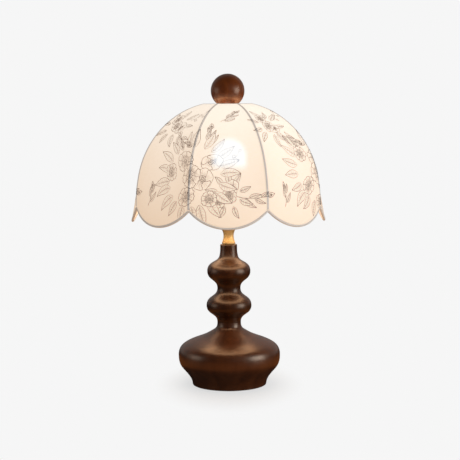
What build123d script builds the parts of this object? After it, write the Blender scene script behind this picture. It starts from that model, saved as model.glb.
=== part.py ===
from build123d import *
from math import asin, atan, cos, degrees, radians, sin, sqrt, tan
import os

os.makedirs("parts", exist_ok=True)

# A table lamp: a turned wooden foot and column on a hollow threaded pipe, a brass neck, a keyed
# lamp holder with a screw-in bulb, and a harp that carries a scalloped cloth shade under a
# screwed-on wooden ball. Millimetres and degrees, +Z up, origin under the middle of the felt.

# Clearances
slip = 0.15  # all round, between parts that are pushed or dropped together
running = 0.06  # radial, where one part turns on another
cloth_room = 0.15  # between the shade's wires and its cloth
roll_room = 0.1  # between a bound wire and its binding
rest_gap = 0.3  # between a turning part and what it rests against

# Foot: felt, cover board and the turned body
felt_thickness = 1.0
felt_radius = 52.0
foot_radius = 56.4
foot_round = 0.6
foot_lean = 0.06  # how far the cove leans outwards where it starts, for each unit up
cove_radius = 61.6
cove_rise = 14.0
bilge_radius = 69.4
bilge_rise = 23.6
belly_radius = 77.6
belly_rise = 46.0
shoulder_radius = 65.7
shoulder_rise = 64.3
slope_radius = 35.0
slope_rise = 77.3
ankle_radius = 23.4
ankle_rise = 84.2
waist_radius = 17.9
body_height = 95.6
cover_thickness = 3.0
cover_radius = 49.8
recess_radius = 40.0
recess_depth = 22.8
cover_screw_count = 4
cover_screw_circle = 45.0
screw_radius = 1.4
screw_head_radius = 3.0
screw_length = 13.0

# Column: two beads and a straight neck, on a tenon
tenon_radius = 10.0
tenon_length = 12.0
column_height = 119.2
lower_cup_radius = 25.9
lower_cup_rise = 12.5
lower_bead_radius = 34.3
lower_bead_rise = 25.6
lower_brow_radius = 26.5
lower_brow_rise = 39.0
upper_waist_radius = 17.6
upper_waist_rise = 52.2
upper_cup_radius = 25.2
upper_cup_rise = 64.9
upper_bead_radius = 32.9
upper_bead_rise = 78.2
upper_brow_radius = 25.5
upper_brow_rise = 91.1
throat_radius = 15.4
throat_rise = 98.6
collar_radius = 13.4
collar_rise = 105.2
wood_neck_radius = 12.8
wood_neck_round = 1.3

# Cord outlet at the back of the foot
outlet_rise = 9.0
outlet_seat = 55.6
bushing_flange_radius = 5.6
bushing_flange_thickness = 1.8
bushing_radius = 4.0
bushing_bore = 3.1
bushing_round = 0.4

# Threaded pipe and what is clamped on it
pipe_radius = 5.0
pipe_bore = 3.5
pipe_stub = 6.8  # below the ballast washer
washer_radius = 14.0
washer_thickness = 1.5
nut_flats = 14.0
nut_height = 5.0
ballast_radius = 38.0
ballast_thickness = 8.0
ballast_chamfer = 1.5

# Brass seat ring and neck
seat_ring_radius = 10.0
seat_ring_height = 4.5
seat_ring_round = 1.6
neck_height = 22.5
neck_foot_radius = 9.3
neck_throat_radius = 7.7
neck_throat_rise = 8.5
neck_top_radius = 12.4
neck_rim = 1.4

# Harp: saddle, wire, two locking sleeves and the threaded stud
saddle_thickness = 1.6
saddle_width = 12.0
saddle_half_span = 26.0
saddle_eye_radius = 8.0
harp_wire = 1.6  # radius
lap_length = 9.0
sleeve_length = 12.0
sleeve_radius = 2.7
sleeve_lift = 13.0
sleeve_round = 0.5
harp_height = 175.0
harp_half_width = 50.0
harp_flare = 44.0  # height over which a leg spreads
harp_shoulder = 23.0  # height of the crown's slanting part
harp_crown = 34.0  # half the width of the flat crown
harp_bends = (30.0, 40.0, 26.0, 18.0)
pad_radius = 6.0
stud_collar_radius = 7.5
stud_collar_height = 4.4
stud_radius = 3.1
stud_length = 16.5
stud_chamfer = 0.8
rivet_radius = 4.4
rivet_height = 1.2

# Lamp holder
cap_radius = 17.9
cap_neck_radius = 8.0
cap_neck_height = 3.0
cap_height = 17.0
cap_wall = 0.8
holder_height = 56.0
shell_wall = 0.6
shell_lap = 3.5  # shell inside the cap
rim_roll = 1.0
liner_wall = 0.5
core_rise = 10.0
core_height = 18.0
core_recess_radius = 6.0  # over the end of the pipe
core_recess_depth = 4.5
screw_shell_bore = 13.35
screw_shell_wall = 0.4
screw_shell_height = 25.0
screw_shell_floor_bore = 8.0
contact_radius = 2.5
contact_height = 2.0
contact_round = 0.5
contact_flange_radius = 5.0
terminal_radius = 2.6
terminal_head = 1.5
terminal_spread = 9.0
terminal_depth = 9.0
key_rise = 21.0
key_shaft_radius = 2.0
key_shaft_depth = 10.0  # inside the core
key_reach = 38.0
key_length = 13.0
key_width = 10.0
key_thickness = 3.0
key_round = 0.75
key_collar_radius = 3.4
key_collar_length = 4.0
key_lap = 2.0  # of the key's blade over its collar
key_hole_radius = 3.2

# Bulb
bulb_tip_radius = 4.5
bulb_tip_height = 1.2
insulator_radius = 9.0
insulator_height = 2.5
bulb_cap_radius = 13.1
bulb_cap_height = 22.4
bulb_housing_height = 31.0
bulb_radius = 30.0
bulb_rim_radius = 28.8
bulb_lip = 0.6  # how much wider the housing's foot is than the cap
bulb_flare_radius = 20.2
bulb_flare_rise = 14.0
bulb_housing_wall = 1.6
globe_wall = 1.2
globe_rise = 48.0
globe_cheek = 0.3  # how far its lower sides stand inside its widest radius at half height
board_thickness = 1.6

# Shade frame and cloth
rib_count = 8
shade_radius = 146.4  # to the outside of the cloth, at a rib
flank_radius = 203.0  # of the lower arc of the dome
crown_radius = 133.0  # of the upper arc of the dome
flank_angle = 11.9  # steepness at which the two arcs meet
skirt_height = 5.0  # straight part above a cusp of the hem
scallop_depth = 25.2
cloth = 0.8
binding = 0.6  # thickness of the tape rolled round the ring and the hem
binding_proud = 0.3  # how far it stands out from the cloth
ring_wire = 1.5  # radius, as are the next three
arm_wire = 1.2
rib_wire = 1.3
hem_wire_radius = 1.3
ring_radius = 37.1
flare_height = 62.0  # over which the flat panels open to the round hem
crown_flare = 40.0  # over which they close to the round ring
hem_ease = 1.2  # how softly the two changes begin, as powers
crown_ease = 1.5
hub_radius = 12.0
hub_thickness = 2.0
hub_bore = 3.5
ring_rise = 0.7  # the ring's middle above the hub's underside
arm_count = 4

# Wooden ball and its threaded insert
ball_radius = 25.4
ball_flat = 20.0  # from the ball's middle down to its foot
insert_radius = 5.5
insert_length = 17.0
insert_bore_depth = 15.8
insert_flange = 1.2  # how much wider the insert's foot is, and how thick

# Heights that follow
body_z = felt_thickness
ceiling_z = body_z + recess_depth
waist_z = body_z + body_height
column_z = waist_z + column_height
neck_z = column_z + seat_ring_height
saddle_z = neck_z + neck_height
holder_z = saddle_z + saddle_thickness
core_z = holder_z + core_rise
core_top = core_z + core_height
bulb_z = core_top + contact_height + rest_gap
bulb_cap_z = bulb_z + bulb_tip_height + insulator_height
housing_z = bulb_cap_z + bulb_cap_height
globe_z = housing_z + bulb_housing_height
pad_z = holder_z + harp_height
collar_z = pad_z + harp_wire
hub_z = collar_z + stud_collar_height
hub_top = hub_z + hub_thickness
ring_z = hub_z + ring_rise
ball_z = hub_top + rest_gap
ballast_z = ceiling_z - ballast_thickness
washer_z = ballast_z - washer_thickness
nut_z = washer_z - nut_height
pipe_z = washer_z - pipe_stub
pipe_top = holder_z + cap_neck_height + cap_wall

# The dome of the shade is two tangent arcs over a straight skirt. The outside of the cloth has
# no inset, and the wires run inside it. The ring sits where the crown arc reaches it.
rib_angle = 360 / rib_count
half_panel = rib_angle / 2
hem_roll = hem_wire_radius + roll_room + binding
ring_roll = ring_wire + roll_room + binding
ring_inset = ring_roll - binding_proud
rib_inset = cloth + (cloth_room + rib_wire) / cos(radians(half_panel))
crown_x = shade_radius - flank_radius + (flank_radius - crown_radius) * cos(radians(flank_angle))
ring_angle = 90 - degrees(asin((ring_radius - crown_x) / (crown_radius - ring_inset)))
crown_z = ring_z - (crown_radius - ring_inset) * sin(radians(ring_angle))
flank_z = crown_z - (flank_radius - crown_radius) * sin(radians(flank_angle))
cusp_z = flank_z - skirt_height
hem_z = cusp_z - scallop_depth
hem_radius = shade_radius - hem_roll + binding_proud


def meridian(azimuth):
    """The upright plane through the lamp's axis, with its own X pointing out along azimuth."""
    across = radians(azimuth)
    return Plane((0, 0, 0), x_dir=(cos(across), sin(across), 0), z_dir=(sin(across), -cos(across), 0))


def dome_point(steepness, inset=0.0):
    """Radius and height where the dome's normal rises at steepness degrees."""
    slope = radians(steepness)
    if steepness > flank_angle:
        reach = crown_radius - inset
        return crown_x + reach * cos(slope), crown_z + reach * sin(slope)
    reach = flank_radius - inset
    return shade_radius - flank_radius + reach * cos(slope), flank_z + reach * sin(slope)


def hem_point(across):
    """A point of the hem's middle line; across runs from -1 at one cusp to 1 at the next.
    Each scallop is an arc in a leaning plane, and panel 1's middle is on +X here."""
    chord = hem_radius * sin(radians(half_panel))
    lean = hem_radius * (1 - cos(radians(half_panel)))
    sag = sqrt(lean**2 + scallop_depth**2)
    arc = (chord**2 + sag**2) / (2 * sag)
    along = across * chord
    drop = (sqrt(arc**2 - along**2) - (arc - sag)) / sag
    return Vector(hem_radius - lean + drop * lean, along, cusp_z - drop * scallop_depth)


def hem_height(azimuth):
    """Height of the hem's middle line at an azimuth of the panel on +X."""
    half_chord = sin(radians(half_panel))
    return hem_point(sin(radians(azimuth)) / half_chord).Z


def finish(piece, name):
    """Labels a piece and writes it under its node's name."""
    piece.part.label = name
    export_step(piece.part, f"parts/{name}.step")


# Felt under the foot
with BuildPart() as felt_pad:
    with BuildSketch(Plane.XY):
        Circle(felt_radius)
    extrude(amount=felt_thickness)
finish(felt_pad, "felt_pad")

# Cover board, let into the foot and held by countersunk screws
with BuildPart() as bottom_cover:
    with BuildSketch(Plane.XY.offset(body_z)):
        Circle(cover_radius)
    extrude(amount=cover_thickness)
    with Locations(Plane(origin=(0, 0, body_z), z_dir=(0, 0, -1))):
        with PolarLocations(cover_screw_circle, cover_screw_count, start_angle=rib_angle):
            CounterSinkHole(screw_radius + slip, screw_head_radius + slip, cover_thickness)
finish(bottom_cover, "bottom_cover")

with BuildPart() as cover_screw:
    with BuildSketch(Plane.XZ):
        with BuildLine():
            Polyline(
                (0, body_z),
                (screw_head_radius, body_z),
                (screw_radius, body_z + screw_head_radius - screw_radius),
                (screw_radius, body_z + screw_length - screw_radius),
                (0, body_z + screw_length),
                close=True,
            )
        make_face()
    revolve(axis=Axis.Z)

with BuildPart() as cover_screws:
    with PolarLocations(cover_screw_circle, cover_screw_count, start_angle=rib_angle):
        add(cover_screw.part)
finish(cover_screws, "cover_screws")

# Turned foot: a cove over the foot, a full belly and a long slope up to the waist
with BuildPart() as foot_body:
    with BuildSketch(Plane.XZ):
        with BuildLine():
            cove = Spline(
                (foot_radius, body_z),
                (cove_radius, body_z + cove_rise),
                (bilge_radius, body_z + bilge_rise),
                (belly_radius, body_z + belly_rise),
                tangents=((foot_lean, 1), (0, 1)),
            )
            slope = Spline(
                cove @ 1,
                (shoulder_radius, body_z + shoulder_rise),
                (slope_radius, body_z + slope_rise),
                (ankle_radius, body_z + ankle_rise),
                (waist_radius, waist_z),
                tangents=((0, 1), (0, 1)),
            )
            Polyline(slope @ 1, (0, waist_z), (0, body_z), cove @ 0)
        make_face()
    revolve(axis=Axis.Z)
    fillet(foot_body.edges().filter_by(GeomType.CIRCLE).sort_by(Axis.Z)[0], foot_round)
    with Locations((0, 0, waist_z)):
        CounterBoreHole(pipe_radius + slip, tenon_radius + slip, tenon_length + slip)
    with Locations(Plane(origin=(0, 0, body_z), z_dir=(0, 0, -1))):
        Hole(recess_radius, recess_depth)
        Hole(cover_radius + slip, cover_thickness)
        with PolarLocations(cover_screw_circle, cover_screw_count, start_angle=rib_angle):
            Hole(screw_radius, screw_length + slip)
    with Locations(Plane(origin=(0, outlet_seat, body_z + outlet_rise), z_dir=(0, 1, 0))):
        Hole(bushing_radius + slip, outlet_seat - recess_radius + slip)
    with BuildSketch(Plane((0, outlet_seat, body_z + outlet_rise), z_dir=(0, 1, 0))):
        Circle(bushing_flange_radius + slip)
    extrude(amount=belly_radius, mode=Mode.SUBTRACT)
finish(foot_body, "foot_body")

# Bushing that lines the cord outlet
with BuildPart() as cord_bushing:
    with BuildSketch(Plane((0, outlet_seat, body_z + outlet_rise), z_dir=(0, 1, 0))):
        Circle(bushing_flange_radius)
        Circle(bushing_bore, mode=Mode.SUBTRACT)
    extrude(amount=bushing_flange_thickness)
    with BuildSketch(Plane((0, outlet_seat, body_z + outlet_rise), z_dir=(0, 1, 0))):
        Circle(bushing_radius)
        Circle(bushing_bore, mode=Mode.SUBTRACT)
    extrude(amount=recess_radius - outlet_seat)
    fillet(cord_bushing.edges().filter_by(GeomType.CIRCLE).sort_by(Axis.Y)[-1], bushing_round)
finish(cord_bushing, "cord_bushing")

# Turned column: tenon, two beads and the neck that carries the brass
with BuildPart() as column:
    with BuildSketch(Plane.XZ):
        with BuildLine():
            Polyline(
                (0, waist_z - tenon_length),
                (tenon_radius, waist_z - tenon_length),
                (tenon_radius, waist_z),
                (waist_radius, waist_z),
            )
            lower_bead = Spline(
                (waist_radius, waist_z),
                (lower_cup_radius, waist_z + lower_cup_rise),
                (lower_bead_radius, waist_z + lower_bead_rise),
                tangents=((0, 1), (0, 1)),
            )
            upper_waist = Spline(
                lower_bead @ 1,
                (lower_brow_radius, waist_z + lower_brow_rise),
                (upper_waist_radius, waist_z + upper_waist_rise),
                tangents=((0, 1), (0, 1)),
            )
            upper_bead = Spline(
                upper_waist @ 1,
                (upper_cup_radius, waist_z + upper_cup_rise),
                (upper_bead_radius, waist_z + upper_bead_rise),
                tangents=((0, 1), (0, 1)),
            )
            collar = Spline(
                upper_bead @ 1,
                (upper_brow_radius, waist_z + upper_brow_rise),
                (throat_radius, waist_z + throat_rise),
                (collar_radius, waist_z + collar_rise),
                (wood_neck_radius, column_z),
                tangents=((0, 1), (0, 1)),
            )
            Polyline(collar @ 1, (0, column_z), (0, waist_z - tenon_length))
        make_face()
    revolve(axis=Axis.Z)
    fillet(column.edges().filter_by(GeomType.CIRCLE).sort_by(Axis.Z)[-1], wood_neck_round)
    with BuildSketch(Plane.XY.offset(waist_z - tenon_length)):
        Circle(pipe_radius + slip)
    extrude(amount=tenon_length + column_height, mode=Mode.SUBTRACT)
finish(column, "column")

# Hollow threaded pipe that holds the stack together
with BuildPart() as lamp_pipe:
    with BuildSketch(Plane.XY.offset(pipe_z)):
        Circle(pipe_radius)
        Circle(pipe_bore, mode=Mode.SUBTRACT)
    extrude(amount=pipe_top - pipe_z)
finish(lamp_pipe, "lamp_pipe")

# Iron ballast, washer and nut, clamped under the foot's recess
with BuildPart() as ballast:
    with BuildSketch(Plane.XY.offset(ballast_z)):
        Circle(ballast_radius)
        Circle(pipe_radius + slip, mode=Mode.SUBTRACT)
    extrude(amount=ballast_thickness)
    chamfer(ballast.edges().group_by(Axis.Z)[0].sort_by(SortBy.LENGTH)[-1], ballast_chamfer)
finish(ballast, "ballast")

with BuildPart() as pipe_washer:
    with BuildSketch(Plane.XY.offset(washer_z)):
        Circle(washer_radius)
        Circle(pipe_radius + slip, mode=Mode.SUBTRACT)
    extrude(amount=washer_thickness)
finish(pipe_washer, "pipe_washer")

with BuildPart() as pipe_nut:
    with BuildSketch(Plane.XY.offset(nut_z)):
        RegularPolygon(nut_flats / 2, 6, major_radius=False)
        Circle(pipe_radius, mode=Mode.SUBTRACT)
    extrude(amount=nut_height)
finish(pipe_nut, "pipe_nut")

# Brass seat ring on the wooden neck
with BuildPart() as seat_ring:
    with BuildSketch(Plane.XY.offset(column_z)):
        Circle(seat_ring_radius)
        Circle(pipe_radius + slip, mode=Mode.SUBTRACT)
    extrude(amount=seat_ring_height)
    rims = seat_ring.edges().filter_by(GeomType.CIRCLE).sort_by(SortBy.RADIUS)[-2:]
    fillet(rims, seat_ring_round)
finish(seat_ring, "seat_ring")

# Brass neck: a waisted spool
with BuildPart() as neck:
    with BuildSketch(Plane.XZ):
        with BuildLine():
            flare = Spline(
                (neck_foot_radius, neck_z),
                (neck_throat_radius, neck_z + neck_throat_rise),
                (neck_top_radius, saddle_z - neck_rim),
                tangents=((-0.35, 1), (0.75, 1)),
            )
            Polyline(
                flare @ 1,
                (neck_top_radius, saddle_z),
                (pipe_radius + slip, saddle_z),
                (pipe_radius + slip, neck_z),
                flare @ 0,
            )
        make_face()
    revolve(axis=Axis.Z)
finish(neck, "neck")

# Saddle: a strap under the holder, with a half-round peg standing at each end
with BuildPart() as harp_saddle:
    with BuildSketch(Plane.XY.offset(saddle_z)):
        SlotCenterToCenter(2 * saddle_half_span, saddle_width / 2)
        Circle(saddle_eye_radius)
        Circle(pipe_radius + slip, mode=Mode.SUBTRACT)
    extrude(amount=saddle_thickness)
    with BuildSketch(Plane.XY.offset(holder_z)):
        with Locations((saddle_half_span, 0), (-saddle_half_span, 0)):
            Circle(harp_wire)
        Rectangle(2 * saddle_half_span, 4 * harp_wire, mode=Mode.INTERSECT)
    extrude(amount=lap_length)
finish(harp_saddle, "harp_saddle")

# Harp: one bent wire whose halved feet lap the pegs, with a flattened pad at the crown. Its legs
# stay straight for as far as the sleeves slide.
harp_spread = degrees(atan((harp_half_width - saddle_half_span) / harp_flare))
harp_leg = rest_gap + sleeve_length + sleeve_lift + harp_bends[0] * tan(radians(harp_spread / 2))
with BuildPart() as harp:
    with BuildLine(Plane.XZ) as harp_line:
        half_line = FilletPolyline(
            (saddle_half_span, holder_z),
            (saddle_half_span, holder_z + harp_leg),
            (harp_half_width, holder_z + harp_leg + harp_flare),
            (harp_half_width, pad_z - harp_shoulder),
            (harp_crown, pad_z),
            (0, pad_z),
            radius=harp_bends,
        )
        mirror(half_line, about=Plane.YZ)
    with BuildSketch(Plane.XY.offset(holder_z)):
        with Locations((saddle_half_span, 0)):
            Circle(harp_wire)
    sweep(path=harp_line.line)
    with BuildSketch(Plane.XY.offset(pad_z - harp_wire)):
        Circle(pad_radius)
    extrude(amount=2 * harp_wire)
    with Locations((0, 0, pad_z + harp_wire)):
        Hole(stud_radius + slip / 2, 2 * harp_wire)
    with BuildSketch(Plane.XY.offset(holder_z)):
        Rectangle(2 * saddle_half_span, 4 * harp_wire)
    extrude(amount=lap_length + slip, mode=Mode.SUBTRACT)
finish(harp, "harp")

# Sleeves that drop over the lapped feet and lock the harp
for side, side_name in ((-1, "left_sleeve"), (1, "right_sleeve")):
    with BuildPart() as sleeve:
        with BuildSketch(Plane.XY.offset(holder_z + rest_gap)):
            with Locations((side * saddle_half_span, 0)):
                Circle(sleeve_radius)
                Circle(harp_wire + running, mode=Mode.SUBTRACT)
        extrude(amount=sleeve_length)
        fillet(sleeve.faces().sort_by(Axis.Z)[-1].outer_wire().edges(), sleeve_round)
    finish(sleeve, side_name)

# Stud riveted through the pad: its collar carries the shade and its thread takes the ball
with BuildPart() as harp_stud:
    with BuildSketch(Plane.XZ):
        with BuildLine():
            Polyline(
                (0, pad_z - harp_wire - rivet_height),
                (rivet_radius, pad_z - harp_wire - rivet_height),
                (rivet_radius, pad_z - harp_wire),
                (stud_radius, pad_z - harp_wire),
                (stud_radius, collar_z),
                (stud_collar_radius, collar_z),
                (stud_collar_radius, hub_z - rest_gap),
                (stud_radius, hub_z - rest_gap),
                (stud_radius, hub_z + stud_length - stud_chamfer),
                (stud_radius - stud_chamfer, hub_z + stud_length),
                (0, hub_z + stud_length),
                close=True,
            )
        make_face()
    revolve(axis=Axis.Z)
finish(harp_stud, "harp_stud")

# Holder cap: a spun brass cup on the pipe
with BuildPart() as holder_cap:
    with BuildSketch(Plane.XZ):
        with BuildLine():
            lip_z = holder_z + cap_height
            bowl_z = lip_z - shell_lap - cap_wall
            outside = EllipticalCenterArc(
                (cap_neck_radius, bowl_z),
                cap_radius - cap_neck_radius,
                bowl_z - holder_z - cap_neck_height,
                start_angle=270,
                arc_size=90,
            )
            inside = EllipticalCenterArc(
                (cap_neck_radius, bowl_z),
                cap_radius - cap_neck_radius - cap_wall,
                bowl_z - holder_z - cap_neck_height - cap_wall,
                start_angle=270,
                arc_size=90,
            )
            Polyline(outside @ 1, (cap_radius, lip_z), (cap_radius - cap_wall, lip_z), inside @ 1)
            Polyline(
                outside @ 0,
                (cap_neck_radius, holder_z),
                (pipe_radius + slip, holder_z),
                (pipe_radius + slip, holder_z + cap_neck_height + cap_wall),
                inside @ 0,
            )
        make_face()
    revolve(axis=Axis.Z)
finish(holder_cap, "holder_cap")

# Holder shell: a brass tube with a rolled mouth and a hole for the key
shell_radius = cap_radius - cap_wall - slip
shell_z = holder_z + cap_height - shell_lap
shell_top = holder_z + holder_height
with BuildPart() as holder_shell:
    with BuildSketch(Plane.XY.offset(shell_z)):
        Circle(shell_radius)
        Circle(shell_radius - shell_wall, mode=Mode.SUBTRACT)
    extrude(amount=shell_top - shell_z)
    with BuildSketch(Plane.XZ):
        with Locations((shell_radius - shell_wall / 2, shell_top)):
            Circle(rim_roll)
    revolve(axis=Axis.Z)
    with BuildSketch(Plane.XZ.offset(shell_radius)):
        with Locations((0, holder_z + key_rise)):
            Circle(key_hole_radius)
    extrude(amount=key_hole_radius, both=True, mode=Mode.SUBTRACT)
finish(holder_shell, "holder_shell")

# Insulating liner inside the shell, on the rim of the core
core_radius = shell_radius - shell_wall - slip
with BuildPart() as holder_liner:
    with BuildSketch(Plane.XY.offset(core_top)):
        Circle(core_radius)
        Circle(core_radius - liner_wall, mode=Mode.SUBTRACT)
    extrude(amount=shell_top - rim_roll - slip - core_top)
finish(holder_liner, "holder_liner")

# Moulded core with the switch's shaft hole and its terminal holes
with BuildPart() as holder_core:
    with BuildSketch(Plane.XY.offset(core_z)):
        Circle(core_radius)
    extrude(amount=core_height)
    with BuildSketch(Plane.XY.offset(core_z)):
        Circle(core_recess_radius)
    extrude(amount=core_recess_depth, mode=Mode.SUBTRACT)
    with BuildSketch(Plane.XZ.offset(core_radius - key_shaft_depth)):
        with Locations((0, holder_z + key_rise)):
            Circle(key_shaft_radius + running)
    extrude(amount=key_shaft_depth, mode=Mode.SUBTRACT)
    with Locations(Plane(origin=(0, 0, core_z), z_dir=(0, 0, -1))):
        with PolarLocations(terminal_spread, 2):
            Hole(screw_radius, terminal_depth)
finish(holder_core, "holder_core")

with BuildPart() as terminal_screws:
    with PolarLocations(terminal_spread, 2):
        with Locations((0, 0, core_z)):
            Cylinder(terminal_radius, terminal_head, align=(Align.CENTER, Align.CENTER, Align.MAX))
            Cylinder(screw_radius, terminal_depth - slip, align=(Align.CENTER, Align.CENTER, Align.MIN))
finish(terminal_screws, "terminal_screws")

# Threaded shell that takes the bulb, with a floor that is riveted to the core
with BuildPart() as screw_shell:
    with BuildSketch(Plane.XY.offset(core_top)):
        Circle(screw_shell_bore + screw_shell_wall)
        Circle(screw_shell_bore, mode=Mode.SUBTRACT)
    extrude(amount=screw_shell_height)
    with BuildSketch(Plane.XY.offset(core_top)):
        Circle(screw_shell_bore + screw_shell_wall)
        Circle(screw_shell_floor_bore, mode=Mode.SUBTRACT)
    extrude(amount=screw_shell_wall)
finish(screw_shell, "screw_shell")

with BuildPart() as centre_contact:
    with BuildSketch(Plane.XY.offset(core_top)):
        Circle(contact_flange_radius)
    extrude(amount=screw_shell_wall)
    with BuildSketch(Plane.XY.offset(core_top)):
        Circle(contact_radius)
    extrude(amount=contact_height)
    fillet(centre_contact.edges().group_by(Axis.Z)[-1], contact_round)
finish(centre_contact, "centre_contact")

# Switch: a shaft into the core and a flat key that fingers turn
key_z = holder_z + key_rise
with BuildPart() as switch_shaft:
    with BuildSketch(Plane.XZ.offset(core_radius - key_shaft_depth + rest_gap)):
        with Locations((0, key_z)):
            Circle(key_shaft_radius)
    extrude(amount=key_reach - key_length - core_radius + key_shaft_depth - rest_gap)
finish(switch_shaft, "switch_shaft")

blade_length = key_length - key_collar_length + key_lap
with BuildPart() as switch_key:
    with BuildSketch(Plane.YZ.offset(-key_thickness / 2)):
        with Locations((blade_length / 2 - key_reach, key_z)):
            Ellipse(blade_length / 2, key_width / 2)
    extrude(amount=key_thickness)
    fillet(switch_key.edges().group_by(Axis.X)[0], key_round)
    fillet(switch_key.edges().group_by(Axis.X)[-1], key_round)
    with BuildSketch(Plane.XZ.offset(key_reach - key_length)):
        with Locations((0, key_z)):
            Circle(key_collar_radius)
    extrude(amount=key_collar_length)
finish(switch_key, "switch_key")

# Bulb: contact, insulator, screw cap, housing, board and globe
with BuildPart() as bulb_contact:
    with BuildSketch(Plane.XY.offset(bulb_z)):
        Circle(bulb_tip_radius)
    extrude(amount=bulb_tip_height)
    fillet(bulb_contact.edges().group_by(Axis.Z)[0], bulb_tip_height / 2)
finish(bulb_contact, "bulb_contact")

with BuildPart() as bulb_insulator:
    with BuildSketch(Plane.XY.offset(bulb_z + bulb_tip_height)):
        Circle(bulb_tip_radius)
    with BuildSketch(Plane.XY.offset(bulb_cap_z)):
        Circle(insulator_radius)
    loft()
finish(bulb_insulator, "bulb_insulator")

with BuildPart() as bulb_cap:
    with BuildSketch(Plane.XZ):
        with BuildLine():
            Polyline(
                (0, bulb_cap_z),
                (insulator_radius, bulb_cap_z),
                (bulb_cap_radius, bulb_cap_z + insulator_height),
                (bulb_cap_radius, housing_z),
                (0, housing_z),
                close=True,
            )
        make_face()
    revolve(axis=Axis.Z)
finish(bulb_cap, "bulb_cap")

with BuildPart() as bulb_housing:
    with BuildSketch(Plane.XZ):
        with BuildLine():
            trumpet = Spline(
                (bulb_cap_radius + bulb_lip, housing_z),
                (bulb_flare_radius, housing_z + bulb_flare_rise),
                (bulb_rim_radius, globe_z),
                tangents=((0.25, 1), (0.2, 1)),
            )
            Polyline(trumpet @ 1, (0, globe_z), (0, housing_z), trumpet @ 0)
        make_face()
    revolve(axis=Axis.Z)
    with BuildSketch(Plane.XY.offset(globe_z)):
        Circle(bulb_rim_radius - bulb_housing_wall)
    extrude(amount=-board_thickness, mode=Mode.SUBTRACT)
finish(bulb_housing, "bulb_housing")

with BuildPart() as led_board:
    with BuildSketch(Plane.XY.offset(globe_z - board_thickness)):
        Circle(bulb_rim_radius - bulb_housing_wall - slip)
    extrude(amount=board_thickness)
finish(led_board, "led_board")

globe_middle = globe_z + globe_rise - bulb_radius
with BuildPart() as bulb_globe:
    with BuildSketch(Plane.XZ):
        with BuildLine():
            cheek = ThreePointArc(
                (bulb_rim_radius, globe_z),
                (bulb_radius - globe_cheek, (globe_z + globe_middle) / 2),
                (bulb_radius, globe_middle),
            )
            dome = CenterArc((0, globe_middle), bulb_radius, 0, 90)
            Polyline(dome @ 1, (0, globe_middle + bulb_radius - globe_wall))
            inner_dome = CenterArc((0, globe_middle), bulb_radius - globe_wall, 0, 90)
            inner_cheek = ThreePointArc(
                (bulb_rim_radius - globe_wall, globe_z),
                (bulb_radius - globe_cheek - globe_wall, (globe_z + globe_middle) / 2),
                (bulb_radius - globe_wall, globe_middle),
            )
            Line(cheek @ 0, inner_cheek @ 0)
        make_face()
    revolve(axis=Axis.Z)
finish(bulb_globe, "bulb_globe")

# Ring at the top of the shade, and the plain tube that its binding and the cloth are cut to
with BuildPart() as top_ring:
    with BuildSketch(Plane.XZ):
        with Locations((ring_radius, ring_z)):
            Circle(ring_wire)
    revolve(axis=Axis.Z)
finish(top_ring, "top_ring")

with BuildPart() as ring_space:
    with BuildSketch(Plane.XZ):
        with Locations((ring_radius, ring_z)):
            Circle(ring_roll + cloth_room)
    revolve(axis=Axis.Z)

# Spider: hub on the harp's collar, and arms out to the ring
with BuildPart() as spider:
    with BuildSketch(Plane.XY.offset(hub_z)):
        Circle(hub_radius)
    extrude(amount=hub_thickness)
    for arm in range(arm_count):
        with BuildSketch(meridian(half_panel + arm * 360 / arm_count + 90)):
            with Locations((0, ring_z)):
                Circle(arm_wire)
        extrude(amount=ring_radius)
    add(top_ring.part, mode=Mode.SUBTRACT)
    with BuildSketch(Plane.XY.offset(hub_z - arm_wire)):
        Circle(stud_collar_radius + rest_gap)
    extrude(amount=arm_wire, mode=Mode.SUBTRACT)
    with Locations((0, 0, hub_top)):
        Hole(hub_bore, hub_thickness)
finish(spider, "spider")

hem_span = 1.06  # of an arc of the hem before its ends are mitred, as a share of a panel


def hem_tube(tube_radius):
    """A tube along the whole scalloped hem: one bent arc for each panel, mitred at the cusps."""
    with BuildPart() as hem_arc:
        with BuildLine():
            hem_line = ThreePointArc(hem_point(-hem_span), hem_point(0), hem_point(hem_span))
        with BuildSketch(Plane(hem_line @ 0, z_dir=hem_line % 0)):
            Circle(tube_radius)
        sweep()
        split(bisect_by=meridian(half_panel), keep=Keep.TOP)
        split(bisect_by=meridian(-half_panel), keep=Keep.BOTTOM)
    with BuildPart() as tube:
        with PolarLocations(0, rib_count, start_angle=-90):
            add(hem_arc.part)
    return tube.part


# Hem wire
with BuildPart() as hem_wire:
    add(hem_tube(hem_wire_radius))
finish(hem_wire, "hem_wire")

# Ribs: bent to the dome, butted on the ring above and on the hem's cusps below
with BuildPart() as rib:
    with BuildLine(meridian(half_panel - 90)) as rib_line:
        rib_foot = shade_radius - rib_inset
        Line((rib_foot, cusp_z), (rib_foot, flank_z))
        CenterArc((shade_radius - flank_radius, flank_z), flank_radius - rib_inset, 0, flank_angle)
        CenterArc((crown_x, crown_z), crown_radius - rib_inset, flank_angle, ring_angle - flank_angle)
    with BuildSketch(Plane(rib_line.line @ 0, z_dir=rib_line.line % 0)):
        Circle(rib_wire)
    sweep(path=rib_line.line)

with BuildPart() as ribs:
    with PolarLocations(0, rib_count):
        add(rib.part)
    add(top_ring.part, mode=Mode.SUBTRACT)
    add(hem_wire.part, mode=Mode.SUBTRACT)
finish(ribs, "ribs")

# Bindings: tape rolled round the hem wire and the ring, open only where ribs and arms join
with BuildPart() as hem_binding:
    add(hem_tube(hem_roll))
    add(hem_tube(hem_wire_radius + roll_room), mode=Mode.SUBTRACT)
    add(ribs.part, mode=Mode.SUBTRACT)
finish(hem_binding, "hem_binding")

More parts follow.
